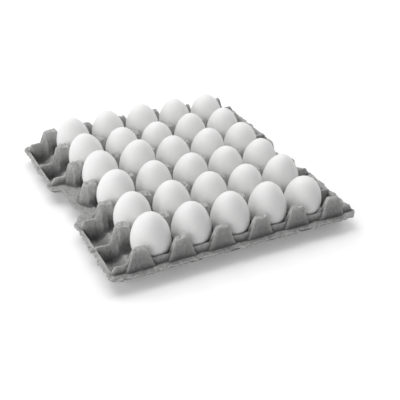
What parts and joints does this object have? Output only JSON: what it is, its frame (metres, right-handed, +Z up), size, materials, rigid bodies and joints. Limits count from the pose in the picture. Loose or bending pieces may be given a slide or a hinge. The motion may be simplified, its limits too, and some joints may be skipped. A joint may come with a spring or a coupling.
{
  "type": "egg tray with eggs",
  "caption": "Open tray of grey moulded paper pulp filled with white hen eggs standing in its cells, with side pockets, finger notches and a rough rim.",
  "frame": {"origin": "on the surface the tray stands on, under the middle of the tray", "axes": "+Z up; +Y from the front row of eggs to the back row; +X to the right, seen from the front; the finger notches are in the -X and +X sides"},
  "size_m": [0.296, 0.295, 0.0675],
  "materials": {
    "pulp": "matt moulded paper pulp, rough and fibrous",
    "eggshell": "smooth matt white eggshell"
  },
  "bodies": {
    "root": {"tray": "pulp", "egg_r1_c1": "eggshell", "egg_r1_c2": "eggshell", "egg_r1_c3": "eggshell", "egg_r1_c4": "eggshell", "egg_r1_c5": "eggshell", "egg_r2_c1": "eggshell", "egg_r2_c2": "eggshell", "egg_r2_c3": "eggshell", "egg_r2_c4": "eggshell", "egg_r2_c5": "eggshell", "egg_r3_c1": "eggshell", "egg_r3_c2": "eggshell", "egg_r3_c3": "eggshell", "egg_r3_c4": "eggshell", "egg_r3_c5": "eggshell", "egg_r4_c1": "eggshell", "egg_r4_c2": "eggshell", "egg_r4_c3": "eggshell", "egg_r4_c4": "eggshell", "egg_r4_c5": "eggshell", "egg_r5_c1": "eggshell", "egg_r5_c2": "eggshell", "egg_r5_c3": "eggshell", "egg_r5_c4": "eggshell", "egg_r5_c5": "eggshell", "egg_r6_c1": "eggshell", "egg_r6_c2": "eggshell", "egg_r6_c3": "eggshell", "egg_r6_c4": "eggshell", "egg_r6_c5": "eggshell"}
  },
  "joints": []
}
